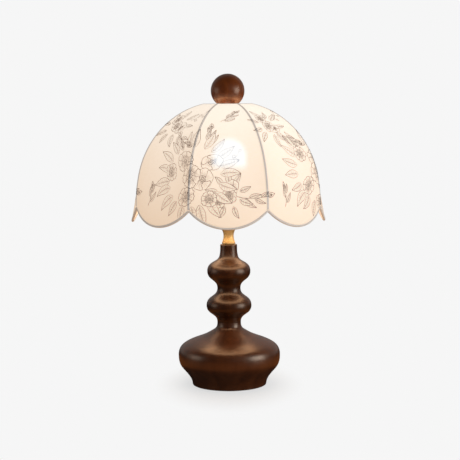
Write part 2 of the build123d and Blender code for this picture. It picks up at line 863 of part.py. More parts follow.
with BuildPart() as ring_binding:
    with BuildSketch(Plane.XZ):
        with Locations((ring_radius, ring_z)):
            Circle(ring_roll)
            Circle(ring_wire + roll_room, mode=Mode.SUBTRACT)
    revolve(axis=Axis.Z)
    notch = rib_wire + roll_room
    for number in range(rib_count):
        with BuildSketch(meridian(half_panel + number * rib_angle + 90).offset(ring_radius)):
            with Locations((0, ring_z + notch)):
                Rectangle(2 * notch, 2 * ring_roll + notch, align=(Align.CENTER, Align.MAX))
        extrude(amount=2 * ring_roll, both=True, mode=Mode.SUBTRACT)
finish(ring_binding, "ring_binding")


outline_steps = 8  # from the ring to where the two arcs of the dome meet


def panel_outline(azimuth, inset):
    """Points of the panel on +X where it meets the meridian at azimuth, from the ring to the
    hem. It is flat across between the ribs, and opens to a round edge at the ring and the hem."""
    chord = cos(radians(half_panel)) / cos(radians(azimuth))
    hem_level = hem_height(azimuth)
    points = []
    for step in range(outline_steps + 1):
        steepness = ring_angle - (ring_angle - flank_angle) * step / outline_steps
        points.append(dome_point(steepness, inset))
    points.append(dome_point(0, inset))
    foot = points[-1][0]
    points.append((foot, (flank_z + hem_level) / 2))
    points.append((foot, hem_level))
    outline = []
    for radius, height in points:
        hem_share = (hem_z + flare_height - height) / (hem_z + flare_height - hem_level)
        crown_share = (ring_radius + crown_flare - radius) / crown_flare
        opening = max(0, min(1, hem_share)) ** hem_ease + max(0, min(1, crown_share)) ** crown_ease
        outline.append((radius * (chord + (1 - chord) * opening), height))
    return outline


# Cloth panels: each is stretched from rib to rib and ends in the bindings. Panel 1 is at the
# front, and the others follow round.
panel_stations = 6
with BuildPart() as panel:
    for station in range(panel_stations + 1):
        station_azimuth = half_panel * (2 * station / panel_stations - 1)
        with BuildSketch(meridian(station_azimuth)):
            with BuildLine():
                face_line = Spline(*panel_outline(station_azimuth, 0))
                back_line = Spline(*panel_outline(station_azimuth, cloth))
                Line(face_line @ 0, back_line @ 0)
                Line(face_line @ 1, back_line @ 1)
            make_face()
    loft()

hem_space = hem_tube(hem_roll + cloth_room)
for number in range(rib_count):
    with BuildPart() as cloth_panel:
        with PolarLocations(0, 1, start_angle=number * rib_angle - 90):
            add(panel.part)
        add(ring_space.part, mode=Mode.SUBTRACT)
        add(hem_space, mode=Mode.SUBTRACT)
    finish(cloth_panel, f"panel_{number + 1}")

# Wooden ball, flat underneath, with a brass insert for the stud
with BuildPart() as finial_ball:
    with Locations((0, 0, ball_z + ball_flat)):
        Sphere(ball_radius)
    split(bisect_by=Plane.XY.offset(ball_z), keep=Keep.TOP)
    with Locations(Plane(origin=(0, 0, ball_z), z_dir=(0, 0, -1))):
        CounterBoreHole(
            insert_radius + slip / 2,
            insert_radius + insert_flange + slip / 2,
            insert_flange,
            insert_length,
        )
finish(finial_ball, "finial_ball")

with BuildPart() as finial_insert:
    with BuildSketch(Plane.XY.offset(ball_z)):
        Circle(insert_radius)
    extrude(amount=insert_length - slip)
    with BuildSketch(Plane.XY.offset(ball_z)):
        Circle(insert_radius + insert_flange)
    extrude(amount=insert_flange)
    with Locations(Plane(origin=(0, 0, ball_z), z_dir=(0, 0, -1))):
        Hole(stud_radius + slip, insert_bore_depth)
finish(finial_insert, "finial_insert")
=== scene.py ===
from cmath import phase, rect
from math import atan2, ceil, cos, exp, hypot, pi, radians, sin, sqrt
from random import Random

import bmesh
import bpy
from mathutils import Matrix, Vector


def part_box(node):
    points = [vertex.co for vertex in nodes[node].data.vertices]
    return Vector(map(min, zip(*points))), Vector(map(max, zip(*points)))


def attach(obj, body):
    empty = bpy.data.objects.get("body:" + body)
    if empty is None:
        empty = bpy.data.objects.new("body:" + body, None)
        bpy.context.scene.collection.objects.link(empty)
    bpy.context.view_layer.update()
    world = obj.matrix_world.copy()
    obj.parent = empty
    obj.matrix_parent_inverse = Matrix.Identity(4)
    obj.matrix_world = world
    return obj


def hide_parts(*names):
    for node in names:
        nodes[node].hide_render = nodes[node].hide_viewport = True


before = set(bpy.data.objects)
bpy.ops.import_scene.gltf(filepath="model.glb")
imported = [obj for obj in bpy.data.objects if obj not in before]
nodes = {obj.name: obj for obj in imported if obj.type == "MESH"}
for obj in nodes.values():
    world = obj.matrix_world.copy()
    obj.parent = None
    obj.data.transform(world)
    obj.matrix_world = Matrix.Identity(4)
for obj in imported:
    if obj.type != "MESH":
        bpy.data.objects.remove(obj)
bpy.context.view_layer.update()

# Camera
# The lamp is seen from nearly two metres away, from the level of its top ring, through a long
# lens that looks slightly down.
camera_place = (0.0034, -1.89, 0.4186)
camera_dip = 5.48  # degrees below level
camera_roll = 0.37  # degrees
camera_lens = 97.83  # mm, in front of a sensor 36 mm wide


def link(name, shown):
    """A new object that shows a mesh, a light or a camera, in the scene."""
    piece = bpy.data.objects.new(name, shown)
    bpy.context.scene.collection.objects.link(piece)
    return piece


camera = link("camera", bpy.data.cameras.new("camera"))
camera.data.sensor_width = 36.0
camera.data.lens = camera_lens
camera.location = camera_place
camera.rotation_euler = (radians(90 - camera_dip), radians(camera_roll), 0)
bpy.context.scene.camera = camera
bpy.context.scene.view_settings.view_transform = "Standard"


# Table top and studio
# A pale matt table that runs into an even pale background. Near the foot its glow is lower: a
# painted soft shadow that reaches further to the front, where it also takes the lamp's own shadow.
# Further out it is as plain as the background. Mirrors see a painted warm ring of lamplight on it
# round the foot. Three softboxes stand round it.
class Wire:
    """An output of a node tree. Sums, products and powers of wires add the Math nodes for them."""

    def __init__(self, tree, socket=None):
        self.tree = tree
        self.socket = socket

    def node(self, kind, settings=None, inputs=None, output=0):
        """Adds a node: its settings first, then the values or links of its inputs. Gives a wire
        from the named output, or a list of wires where several are named."""
        made = self.tree.nodes.new(kind)
        for name, value in (settings or {}).items():
            if name == "stops":
                ramp = made.color_ramp.elements
                while len(ramp) < len(value):
                    ramp.new(0.5)
                for stop, (place, colour) in zip(ramp, value):
                    stop.position = place
                    stop.color = colour
            else:
                setattr(made, name, value)
        for name, value in (inputs or {}).items():
            if isinstance(value, Wire):
                self.tree.links.new(made.inputs[name], value.socket)
            else:
                made.inputs[name].default_value = value
        if isinstance(output, tuple):
            return [Wire(self.tree, made.outputs[name]) for name in output]
        return Wire(self.tree, made.outputs[output] if made.outputs else None)

    def math(self, operation, *values):
        return self.node("ShaderNodeMath", {"operation": operation}, dict(enumerate(values)))

    def __add__(self, other):
        return self.math("ADD", self, other)

    def __radd__(self, other):
        return self.math("ADD", other, self)

    def __sub__(self, other):
        return self.math("SUBTRACT", self, other)

    def __rsub__(self, other):
        return self.math("SUBTRACT", other, self)

    def __mul__(self, other):
        return self.math("MULTIPLY", self, other)

    def __rmul__(self, other):
        return self.math("MULTIPLY", other, self)

    def __truediv__(self, other):
        return self.math("DIVIDE", self, other)

    def __pow__(self, other):
        return self.math("POWER", self, other)

    def ease(self, low, high):
        """Rises smoothly from 0 at low to 1 at high, or falls where high is the smaller."""
        limits = {"Value": self, "From Min": low, "From Max": high}
        return self.node("ShaderNodeMapRange", {"interpolation_type": "SMOOTHSTEP"}, limits)

    def between(self, first, second):
        """The colour that runs from first to second as this wire runs from 0 to 1."""
        ends = {0: self, 6: first, 7: second}
        return self.node("ShaderNodeMix", {"data_type": "RGBA"}, ends, output=2)


def grey(level):
    return (level, level, level, 1.0)


def new_material(name):
    """A material with no nodes yet, and the wire that its nodes start from."""
    material = bpy.data.materials.new(name)
    material.use_nodes = True
    material.node_tree.nodes.clear()
    return material, Wire(material.node_tree)


def show(name, shape, material):
    """A new object that shows a finished bmesh in one material."""
    mesh = bpy.data.meshes.new(name)
    shape.to_mesh(mesh)
    shape.free()
    mesh.materials.append(material)
    return link(name, mesh)


def studio_level(start, shown, mirrored, lighting):
    """The level shown to the eye and through glass, the level in a mirror, and the level for the
    rays that only carry light to the object."""
    kinds = ("Is Camera Ray", "Is Glossy Ray", "Is Transmission Ray")
    eye, mirror, glass = start.node("ShaderNodeLightPath", output=kinds)
    direct = eye + glass
    return shown * direct + mirrored * mirror + lighting * (1.0 - direct - mirror)


backdrop_level = 0.922
fill_level = 0.2  # of the light that comes from all round
behind_level = 0.3  # of the backdrop behind the lamp, in a mirror
behind_full = 0.9  # how far a direction points to the back where that level is reached
room_level = 0.01  # of the dark room behind the camera
world = bpy.data.worlds.new("studio")
world.use_nodes = True
world.node_tree.nodes.clear()
air = Wire(world.node_tree)
toward = air.node("ShaderNodeTexCoord", output="Generated")
behind = air.node("ShaderNodeSeparateXYZ", inputs={"Vector": toward}, output="Y")
mirrored = behind.ease(0.0, behind_full) * behind_level + room_level
level = studio_level(air, backdrop_level, mirrored, fill_level)
air_light = air.node("ShaderNodeBackground", inputs={"Color": grey(1.0), "Strength": level})
air.node("ShaderNodeOutputWorld", inputs={"Surface": air_light})
bpy.context.scene.world = world

table_albedo = 0.25
table_glow = 0.64  # of the table near the foot, so that it lies in a soft shadow
table_bounce = 0.16  # of the light that it sends up to the lamp
shadow_from = 0.04  # sideways from the lamp's axis, where the shadow begins to fade
shadow_to = 0.12
shadow_stretch = 1.65  # the shadow reaches that much further to the front than to the sides
lamplight = (0.26, 0.088, 0.026, 1.0)  # on the table, as the belly's lacquer mirrors it
lamplight_from = 0.095  # from the lamp's axis, where the lamplight begins to rise
lamplight_full = 0.14
lamplight_falls = 0.15
lamplight_gone = 0.5
table_material, start = new_material("table top")
across, along = start.node(
    "ShaderNodeSeparateXYZ",
    inputs={"Vector": start.node("ShaderNodeTexCoord", output="Object")},
    output=("X", "Y"),
)
from_axis = (across * across + along * along) ** 0.5
drawn_in = along / shadow_stretch
plain = ((across * across + drawn_in * drawn_in) ** 0.5).ease(shadow_from, shadow_to)
near_top = start.node(
    "ShaderNodeBsdfPrincipled",
    inputs={
        "Base Color": grey(table_albedo),
        "Roughness": 1.0,
        "Specular IOR Level": 0.0,
        "Emission Color": grey(1.0),
        "Emission Strength": studio_level(start, table_glow, 0.0, table_bounce),
    },
)
far_level = studio_level(start, backdrop_level, 0.0, fill_level)
far_top = start.node("ShaderNodeEmission", inputs={"Color": grey(1.0), "Strength": far_level})
top = start.node("ShaderNodeMixShader", inputs={0: plain, 1: near_top, 2: far_top})
lit = from_axis.ease(lamplight_from, lamplight_full)
lit = (lit * from_axis.ease(lamplight_gone, lamplight_falls)).between(grey(room_level), lamplight)
in_mirror = start.node("ShaderNodeEmission", inputs={"Color": lit, "Strength": 1.0})
mirror = start.node("ShaderNodeLightPath", output="Is Glossy Ray")
top = start.node("ShaderNodeMixShader", inputs={0: mirror, 1: top, 2: in_mirror})
start.node("ShaderNodeOutputMaterial", inputs={"Surface": top})

table_size = 12.0
table = bmesh.new()
bmesh.ops.create_grid(table, x_segments=1, y_segments=1, size=table_size / 2)
show("table_top", table, table_material)

aim_height = 0.22  # of the point on the lamp's axis that the softboxes face


def softbox(name, azimuth, distance, height, width, tall, watts, colour):
    """A rectangular lamp that faces the lamp on the table. Azimuth 0 is behind the camera."""
    lamp = bpy.data.lights.new(name, "AREA")
    lamp.shape = "RECTANGLE"
    lamp.size = width
    lamp.size_y = tall
    lamp.energy = watts
    lamp.color = colour
    holder = link(name, lamp)
    turn = radians(azimuth)
    holder.location = (distance * sin(turn), -distance * cos(turn), height)
    aim = Vector((0, 0, aim_height)) - holder.location
    holder.rotation_euler = aim.to_track_quat("-Z", "Y").to_euler()
    return holder


softbox("key_light", 67, 1.7, 0.45, width=0.9, tall=1.0, watts=8.6, colour=(1.0, 0.99, 0.98))
# The fill lights matt surfaces only: no lacquer or metal mirrors it.
front_fill = softbox("front_fill", 28, 2.2, 1.0, width=1.5, tall=1.5, watts=15.0, colour=(1, 1, 1))
front_fill.visible_glossy = False
softbox("left_light", -82, 1.8, 0.4, width=0.9, tall=0.9, watts=2.3, colour=(1.0, 0.95, 0.9))


# Turned foot and column
# Dense hardwood, turned on a lathe and dipped in a dark brown stain, under a satin lacquer. The
# grain runs up the column, so the belly and the beads cut across it in long loops.
fibre_stretch = (1, 1, 0.09)  # figure and fibre are drawn out up the column
pore_stretch = (1, 1, 0.05)
pore_from = 0.62  # of the noise, above which it is an open pore
pore_full = 0.72
pore_stain = 0.25  # how far a pore takes on the dark stain
figure_share = 0.75  # of the tone; the rest is fibre
cloud_haze = 0.08  # what each adds to the lacquer's roughness
fibre_haze = 0.02
pore_haze = 0.03
dark_tone, mid_tone, light_tone = 0.36, 0.5, 0.66  # where each stain is at its purest
foot_stains = (0.046, 0.0088, 0.0006), (0.068, 0.0138, 0.0010), (0.094, 0.0225, 0.0030)
# The column is the same wood as the foot. Its stains are darker, which paints shade into its
# colour.
column_shaded_stains = (0.024, 0.0050, 0.0005), (0.037, 0.0085, 0.0007), (0.053, 0.0140, 0.0018)


def turned_wood(name, stains, gloss, satin=0.29, figure_scale=46.0):
    """Wood with a dark, a middle and a light stain, in lacquer whose IOR is gloss and whose
    roughness is satin."""
    dark, mid, light = (stain + (1.0,) for stain in stains)
    material, start = new_material(name)
    place = start.node("ShaderNodeTexCoord", output="Object")
    drawn_out = start.node("ShaderNodeMapping", inputs={"Vector": place, "Scale": fibre_stretch})
    figure = start.node(
        "ShaderNodeTexNoise",
        inputs={"Vector": drawn_out, "Scale": figure_scale, "Detail": 5.0, "Distortion": 0.7},
    )
    fibre = start.node(
        "ShaderNodeTexNoise",
        inputs={"Vector": drawn_out, "Scale": 420.0, "Detail": 3.0, "Roughness": 0.6},
    )
    pore_place = start.node("ShaderNodeMapping", inputs={"Vector": place, "Scale": pore_stretch})
    pore = start.node(
        "ShaderNodeTexNoise", inputs={"Vector": pore_place, "Scale": 1500.0, "Detail": 1.0}
    ).ease(pore_from, pore_full)
    tone = figure * figure_share + fibre * (1 - figure_share)
    stops = (dark_tone, dark), (mid_tone, mid), (light_tone, light)
    stain = start.node("ShaderNodeValToRGB", {"stops": stops}, {"Fac": tone})
    colour = (pore * pore_stain).between(stain, dark)
    cloud = start.node("ShaderNodeTexNoise", inputs={"Vector": place, "Scale": 35.0, "Detail": 2.0})
    rough = satin + cloud_haze * cloud + fibre_haze * fibre + pore_haze * pore
    bump = start.node(
        "ShaderNodeBump", inputs={"Strength": 0.1, "Distance": 0.00003, "Height": fibre}
    )
    wood = start.node(
        "ShaderNodeBsdfPrincipled",
        inputs={
            "Base Color": colour,
            "Roughness": rough,
            "IOR": gloss,
            "Specular IOR Level": 1.0,
            "Specular Tint": (1.0, 0.83, 0.67, 1.0),
            "Normal": bump,
        },
    )
    start.node("ShaderNodeOutputMaterial", inputs={"Surface": wood})
    return material


def dress(material, *names):
    """Gives CAD nodes a finish."""
    for name in names:
        for holder in nodes[name].material_slots:
            holder.material = material


dress(turned_wood("foot wood", foot_stains, gloss=1.7), "foot_body")
dress(turned_wood("column wood", column_shaded_stains, gloss=1.56), "column")


# Ball
# A ball of the same wood, turned and stained a shade redder. Its stains are also much lighter than
# the foot's: light painted into its colour to make up for the weaker light it gets up there. It
# screws down on the stud and holds the shade.
ball_stains_with_painted_light = (0.120, 0.0205, 0.0006), (0.168, 0.0315, 0.0008), (0.225, 0.050, 0.003)
redder_wood_with_painted_light = turned_wood("redder wood with painted light", ball_stains_with_painted_light, gloss=1.6, satin=0.30, figure_scale=60.0)
dress(redder_wood_with_painted_light, "finial_ball")


# Brass
# The seat ring and the neck are cast and gilded, with a mottled, part dull skin. The lamp holder's
# cap and shell are spun from sheet brass and keep the fine rings of the tool, and the harp is bent
# from brassed steel wire.
tarnish_shade = 0.72  # of the metal's own colour
tarnish_from = 0.38  # of the noise, above which the metal is tarnished
tarnish_full = 0.72
tarnish_haze = 0.12  # what it adds to the roughness
tarnish_depth = 0.8  # of the rings' depth


def brass(name, colour, roughness, ring_pitch, ring_depth, metallic=1.0):
    """Turned or spun metal with tool rings about the lamp's axis and a fine tarnish."""
    material, start = new_material(name)
    place = start.node("ShaderNodeTexCoord", output="Object")
    stacked = start.node("ShaderNodeMapping", inputs={"Vector": place, "Scale": (0.02, 0.02, 1)})
    rings = start.node(
        "ShaderNodeTexNoise", inputs={"Vector": stacked, "Scale": 1 / ring_pitch, "Detail": 2.0}
    )
    drawn = start.node("ShaderNodeMapping", inputs={"Vector": place, "Scale": (1, 1, 0.7)})
    cloud = start.node(
        "ShaderNodeTexNoise", inputs={"Vector": drawn, "Scale": 1000.0, "Detail": 3.0}
    )
    darker = tuple(tarnish_shade * share for share in colour) + (1.0,)
    tarnish = cloud.ease(tarnish_from, tarnish_full).between(colour + (1.0,), darker)
    bump = start.node(
        "ShaderNodeBump",
        inputs={"Strength": 0.4, "Distance": ring_depth, "Height": rings + tarnish_depth * cloud},
    )
    metal = start.node(
        "ShaderNodeBsdfPrincipled",
        inputs={
            "Base Color": tarnish,
            "Metallic": metallic,
            "Roughness": roughness + tarnish_haze * cloud,
            "Normal": bump,
        },
    )
    start.node("ShaderNodeOutputMaterial", inputs={"Surface": metal})
    return material


gilt_brass = brass(
    "gilt brass", (0.85, 0.59, 0.25), 0.40, ring_pitch=0.0005, ring_depth=0.00012, metallic=0.55
)
dress(gilt_brass, "seat_ring", "neck")
dress(
    brass("lacquered brass", (0.86, 0.56, 0.22), 0.34, ring_pitch=0.0005, ring_depth=0.00008),
    "holder_cap",
    "holder_shell",
    "switch_shaft",
    "switch_key",
    "harp_stud",
    "finial_insert",
    "screw_shell",
    "centre_contact",
)
dress(
    brass("brassed steel", (0.8, 0.62, 0.34), 0.32, ring_pitch=0.003, ring_depth=0.00005),
    "harp",
    "harp_saddle",
    "left_sleeve",
    "right_sleeve",
)


# Bulb
# A milky round globe with its lamps lit, on a white moulded housing with a metal screw cap. Its
# lamps are on a board in its foot, so the glass glows less toward its top.
bulb_low, bulb_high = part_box("bulb_globe")
globe_glow = (1.0, 0.84, 0.64, 1.0)
globe_top_glow = grey(0.12)
globe_dim_share = 0.6  # of the way up the globe, where the glow is down to that of its top
globe_strength = 6.0


def lit_glass():
    material, start = new_material("lit globe")
    place = start.node("ShaderNodeTexCoord", output="Object")
    height = start.node("ShaderNodeSeparateXYZ", inputs={"Vector": place}, output="Z")
    dim_z = (1 - globe_dim_share) * bulb_low.z + globe_dim_share * bulb_high.z
    glow = height.ease(dim_z, bulb_low.z).between(globe_top_glow, globe_glow)
    glass = start.node(
        "ShaderNodeBsdfPrincipled",
        inputs={
            "Base Color": (0.85, 0.83, 0.8, 1.0),
            "Roughness": 0.3,
            "Emission Color": glow,
            "Emission Strength": globe_strength,
        },
    )
    start.node("ShaderNodeOutputMaterial", inputs={"Surface": glass})
    return material


dress(lit_glass(), "bulb_globe")


# Plain materials of the hidden and small parts
# Moulded, cast, pressed and rolled stock: the steel pipe and screws, the iron weight in the foot,
# the cover board, the holder's and the bulb's insides and the shade's enamelled wires. Each has the
# fine mottle of its own making.
mottle_from = 0.3  # of the noise, where the mottle is at its darkest
mottle_to = 0.7
mottle_haze = 0.15  # what it adds to the roughness


def stock(name, colour, roughness, metallic=0.0, mottle=0.15, scale=600.0, depth=0.00005):
    """Plain stock with a mottle of that share, scale and depth in metres."""
    material, start = new_material(name)
    place = start.node("ShaderNodeTexCoord", output="Object")
    grain = start.node(
        "ShaderNodeTexNoise", inputs={"Vector": place, "Scale": scale, "Detail": 4.0}
    )
    darker = tuple((1 - mottle) * share for share in colour) + (1.0,)
    lighter = tuple(min(1.0, (1 + mottle) * share) for share in colour) + (1.0,)
    bump = start.node(
        "ShaderNodeBump", inputs={"Strength": 0.5, "Distance": depth, "Height": grain}
    )
    surface = start.node(
        "ShaderNodeBsdfPrincipled",
        inputs={
            "Base Color": grain.ease(mottle_from, mottle_to).between(darker, lighter),
            "Metallic": metallic,
            "Roughness": roughness + mottle_haze * grain,
            "Normal": bump,
        },
    )
    start.node("ShaderNodeOutputMaterial", inputs={"Surface": surface})
    return material


zinced_steel = stock("zinced steel", (0.55, 0.56, 0.58), 0.3, metallic=1.0)
dress(zinced_steel, "lamp_pipe", "pipe_nut", "pipe_washer")
screw_steel = stock("screw steel", (0.6, 0.6, 0.6), 0.25, metallic=1.0)
dress(screw_steel, "cover_screws", "terminal_screws")
cast_iron = stock(
    "cast iron", (0.07, 0.07, 0.075), 0.6, metallic=0.3, mottle=0.3, scale=350.0, depth=0.0003
)
dress(cast_iron, "ballast")
fibreboard = stock("fibreboard", (0.3, 0.18, 0.09), 0.7, mottle=0.25, scale=900.0, depth=0.0001)
dress(fibreboard, "bottom_cover")
dress(stock("black moulding", (0.02, 0.018, 0.016), 0.35), "holder_core", "bulb_insulator")
brown_card = stock("brown card", (0.18, 0.11, 0.06), 0.8, mottle=0.25, scale=900.0)
dress(brown_card, "holder_liner")
dress(stock("brown plastic", (0.03, 0.018, 0.012), 0.4), "cord_bushing")
bulb_metal = stock("bulb metal", (0.72, 0.72, 0.72), 0.25, metallic=1.0)
dress(bulb_metal, "bulb_cap", "bulb_contact")
white_housing = stock("white housing", (0.82, 0.82, 0.8), 0.35, mottle=0.03)
dress(white_housing, "bulb_housing", "led_board")
white_enamel = stock("white enamel", (0.7, 0.66, 0.6), 0.35, mottle=0.06, scale=250.0)
dress(white_enamel, "spider", "ribs", "top_ring", "hem_wire")


# Shade cloth
# Eight panels of close cream cotton on a stiff lining, stretched from rib to rib over the dome of
# wires. The bulb's light through them is painted into the cloth's emission: a glow that fades away
# from the bulb, the bulb's round spot on every other panel, and a painted grey shadow along each
# rib, where the wire stops the light. The inside has a brighter painted glow, which is painted dim
# up in the crown.
rib_count = 8
half_panel = radians(180 / rib_count)
shade_radius = 0.1464
flank_radius = 0.203  # a rib bends gently over the flank and more tightly over the crown
crown_radius = 0.133
flank_angle = radians(11.9)
cloth_thickness = 0.0006
ring_low, ring_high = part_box("top_ring")
ring_wire = (ring_high.z - ring_low.z) / 2
ring_z = (ring_low.z + ring_high.z) / 2
ring_radius = ring_high.x - ring_wire
flare_height = 0.062  # over the hem, where the cloth begins to round out from flat
crown_flare = 0.040  # out from the top ring, where it begins to do so
hem_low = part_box("hem_wire")[0]
hem_wire_radius = 0.0013
hem_roll = 0.0020  # radius of the cloth rolled round it
scallop_depth = 0.0252
skirt_height = 0.0050  # of the straight cloth over the cusps
hem_z = hem_low.z + hem_wire_radius
cusp_z = hem_z + scallop_depth
flank_z = cusp_z + skirt_height
hem_radius = 0.1447
crown_x = shade_radius - flank_radius + (flank_radius - crown_radius) * cos(flank_angle)
crown_z = flank_z + (flank_radius - crown_radius) * sin(flank_angle)
flank_run = flank_radius * flank_angle
ring_turn = atan2(ring_z - crown_z, ring_radius - crown_x)
ring_run = flank_run + crown_radius * (ring_turn - flank_angle)


def dome(run):
    """Radius, height and slope of the cloth along a rib, run metres up from where the straight
    skirt ends."""
    if run < 0:
        return shade_radius, flank_z + run, 0.0
    if run < flank_run:
        slope = run / flank_radius
        radius = shade_radius - flank_radius * (1 - cos(slope))
        return radius, flank_z + flank_radius * sin(slope), slope
    slope = flank_angle + (run - flank_run) / crown_radius
    return crown_x + crown_radius * cos(slope), crown_z + crown_radius * sin(slope), slope


# A scallop of the hem is an arc in a plane of its own, which leans out as it hangs down.
hem_chord = hem_radius * sin(half_panel)
hem_lean = hem_radius * (1 - cos(half_panel))
hem_sag = hypot(hem_lean, scallop_depth)
hem_arc = (hem_chord**2 + hem_sag**2) / (2 * hem_sag)


def hem_height(swing):
    """Height of the hem's middle line, swing radians round from a panel's middle."""
    along_chord = hem_radius * sin(min(abs(swing), half_panel))
    drop = (sqrt(hem_arc**2 - along_chord**2) - (hem_arc - hem_sag)) / hem_sag
    return cusp_z - drop * scallop_depth


def panel_swing(azimuth):
    """Radians round from the middle of the panel at an azimuth."""
    return (azimuth + half_panel) % (2 * half_panel) - half_panel


def clamp(share):
    return max(0.0, min(1.0, share))


ridge_height = 0.0007  # of the cloth over a rib
ridge_width = 0.0017
hem_ease = 1.2  # how slowly the cloth begins to round out
crown_ease = 1.5


def cloth_point(azimuth, run, proud=0.0):
    """A point on the outside of the cloth, azimuth radians round from the front, run up it."""
    swing = panel_swing(azimuth)
    radius, height, slope = dome(run)
    flat = cos(half_panel) / cos(swing)
    flare_z = hem_z + flare_height
    hem_share = (flare_z - height) / (flare_z - hem_height(swing))
    crown_share = (ring_radius + crown_flare - radius) / crown_flare
    rounding = clamp(hem_share) ** hem_ease + clamp(crown_share) ** crown_ease
    to_rib = (half_panel - abs(swing)) * radius
    out = proud + ridge_height * exp(-((to_rib / ridge_width) ** 2))
    reach = radius * (flat + (1 - flat) * rounding) + out * cos(slope)
    return Vector((reach * sin(azimuth), -reach * cos(azimuth), height + out * sin(slope)))


cloth_dark = (0.55, 0.52, 0.475, 1.0)
cloth_light = (0.60, 0.57, 0.53, 1.0)
thread_pitch = 0.0005
thread_height = 0.5  # of the threads, against that of the slubs
light_through = 0.965  # of the glow, at the least
slub_light = 0.07  # of the glow, and that much more where the slubs are thin
glow_strength = 3.0  # of the emission, whose colours are all below 1
glow_near = (0.284, 0.247, 0.207, 1.0)  # outside, near the bulb and far from it
glow_far = (0.191, 0.122, 0.069, 1.0)
rib_glow = (0.084, 0.068, 0.058, 1.0)
rib_shadow = 0.0017
rib_shadow_edge = 0.0005
inside_glow = (1.0, 0.67, 0.43, 1.0)  # beside the bulb, down at the hem and up in the crown
inside_low = (0.34, 0.235, 0.16, 1.0)
crown_glow = (0.03, 0.018, 0.01, 1.0)
inside_full_z = 0.32
inside_dim_z = 0.375
turned_in = -0.01  # a surface that faces the lamp's middle by that much is the inside
bulb_middle = bulb_low.z + 0.018
glow_middle = bulb_middle - 0.02
glow_reach = 0.19  # from its middle, where the glow has fallen to its least
glow_core = 0.07
glow_squash = 0.72  # of the height over or under the middle
spot_colour = (0.270, 0.266, 0.260, 1.0)
spot_radius = 0.0235
spot_middle = bulb_middle + 0.0045
spot_foot = bulb_middle - 0.011
spot_edge = 0.0058
spot_foot_edge = 1.3 * spot_edge
spot_aside = 0.002  # to the right, seen from outside


def panel_place(start, place):
    """Of a place on the shade: its distance from the lamp's axis, its distance aside from the
    middle of its panel, its height, 1 where it is clear of the ribs' shadows, and 1 on every other
    panel."""
    x, y, z = start.node("ShaderNodeSeparateXYZ", inputs={"Vector": place}, output=("X", "Y", "Z"))
    radius = (x * x + y * y) ** 0.5
    turns = start.math("ARCTAN2", x, 0.0 - y) / (2 * half_panel) + 0.5
    swing = (start.math("FRACT", turns + rib_count) - 0.5) * (2 * half_panel)
    to_rib = (half_panel - start.math("ABSOLUTE", swing)) * radius
    clear = to_rib.ease(rib_shadow - rib_shadow_edge, rib_shadow + rib_shadow_edge)
    other = start.math("MODULO", start.math("FLOOR", turns + rib_count), 2.0)
    return radius, swing * radius, z, clear, other


def bulb_spot(start, from_middle, z, other):
    """1 on the spot of light that the bulb makes on every other panel, round above and cut off
    level below."""
    aside = from_middle - spot_aside
    arch = start.math("MAXIMUM", z - spot_middle, 0.0)
    from_spot = (aside * aside + arch * arch) ** 0.5
    over = from_spot.ease(spot_radius + spot_edge, spot_radius - spot_edge)
    return over * z.ease(spot_foot - spot_foot_edge, spot_foot + spot_foot_edge) * (1.0 - other)


def shade_cloth():
    material, start = new_material("shade cloth")
    place = start.node("ShaderNodeTexCoord", output="Object")
    radius, from_middle, z, clear, other = panel_place(start, place)
    normal = start.node("ShaderNodeTexCoord", output="Normal")
    facing = start.node(
        "ShaderNodeVectorMath", {"operation": "DOT_PRODUCT"}, {0: normal, 1: place}, "Value"
    )

    threads = start.node("ShaderNodeUVMap", {"uv_map": "threads"})
    u, v = start.node("ShaderNodeSeparateXYZ", inputs={"Vector": threads}, output=("X", "Y"))
    thread_turn = 2 * pi / thread_pitch
    weft = start.math("SINE", v * thread_turn)
    warp = start.math("SINE", u * thread_turn)
    slub_place = start.node(
        "ShaderNodeMapping", inputs={"Vector": threads, "Scale": (1.0, 14.0, 1.0)}
    )
    slub = start.node(
        "ShaderNodeTexNoise", inputs={"Vector": slub_place, "Scale": 110.0, "Detail": 3.0}
    )
    weave = warp * weft * thread_height + slub

    rise = (z - glow_middle) * glow_squash
    from_bulb = (radius * radius + rise * rise) ** 0.5
    lit = from_bulb.ease(glow_reach, glow_core)
    glow = lit.between(glow_far, glow_near)
    glow = bulb_spot(start, from_middle, z, other).between(glow, spot_colour)
    glow = clear.between(rib_glow, glow)
    glow = (light_through + slub_light * slub).between(grey(0.0), glow)
    inside = z.ease(hem_z, inside_full_z).between(inside_low, inside_glow)
    inside = z.ease(inside_dim_z, inside_full_z).between(crown_glow, inside)
    glow = facing.ease(0.0, turned_in).between(glow, inside)
    colour = slub.ease(mottle_from, mottle_to).between(cloth_dark, cloth_light)
    bump = start.node(
        "ShaderNodeBump", inputs={"Strength": 0.35, "Distance": 0.00012, "Height": weave}
    )
    cloth = start.node(
        "ShaderNodeBsdfPrincipled",
        inputs={
            "Base Color": colour,
            "Roughness": 0.85,
            "Specular IOR Level": 0.2,
            "Sheen Weight": 0.15,
            "Emission Color": glow,
            "Emission Strength": glow_strength,
            "Normal": bump,
        },
    )
    start.node("ShaderNodeOutputMaterial", inputs={"Surface": cloth})
    return material


cloth_material = shade_cloth()

